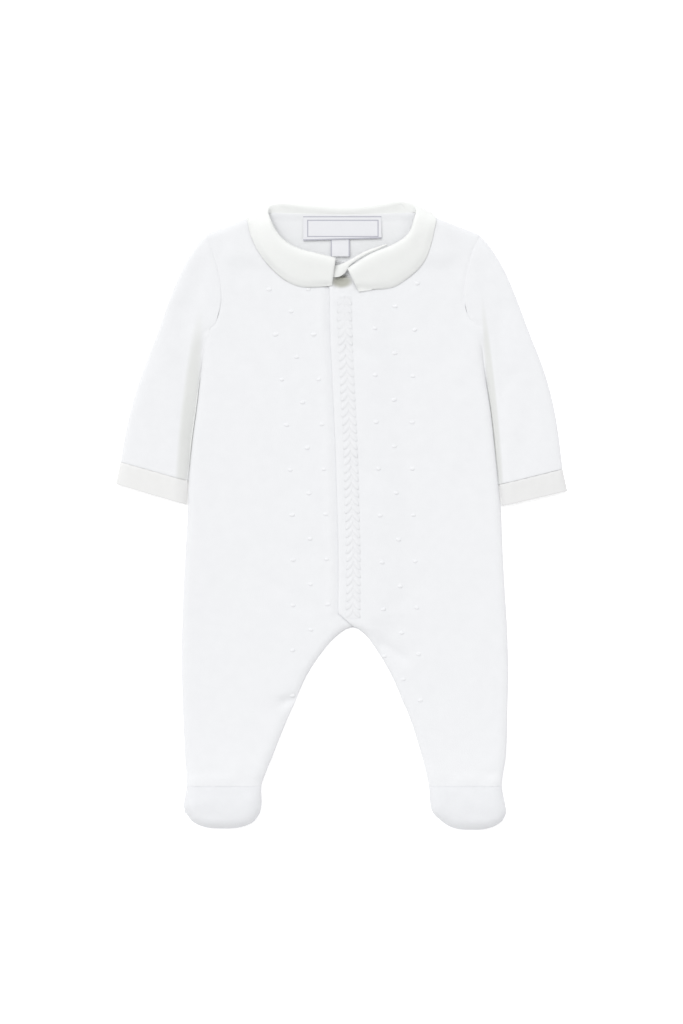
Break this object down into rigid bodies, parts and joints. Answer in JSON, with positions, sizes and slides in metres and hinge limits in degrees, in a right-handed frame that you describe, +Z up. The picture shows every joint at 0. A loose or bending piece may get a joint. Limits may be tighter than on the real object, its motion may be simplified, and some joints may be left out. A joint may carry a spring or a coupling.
{
  "type": "footed baby sleepsuit",
  "caption": "Footed baby sleepsuit laid flat: long sleeves with woven cuffs, turned-down collar, lapped front with a raised chevron band and raised dots.",
  "frame": {"origin": "bottom centre of the part's box, on the surface it lies on", "axes": "+Z up from the surface, +Y from the toes to the neck, +X to the viewer's right"},
  "size_m": [0.3608, 0.503, 0.0183],
  "materials": {
    "jersey": "soft white cotton jersey",
    "woven": "off-white woven cotton, plain weave",
    "braid": "white cotton thread, raised chevrons",
    "label": "white woven ribbon, slight sheen"
  },
  "bodies": {
    "root": {"back": "jersey", "front_left": "jersey", "front_right": "jersey", "foot_upper_left": "jersey", "foot_upper_right": "jersey", "sole_left": "jersey", "sole_right": "jersey", "sleeve_left": "jersey", "sleeve_right": "jersey", "cuff_left": "woven", "cuff_right": "woven", "braid": "braid", "collar": "woven", "neck_band": "woven", "neck_label": "label", "size_tab": "label"}
  },
  "joints": []
}
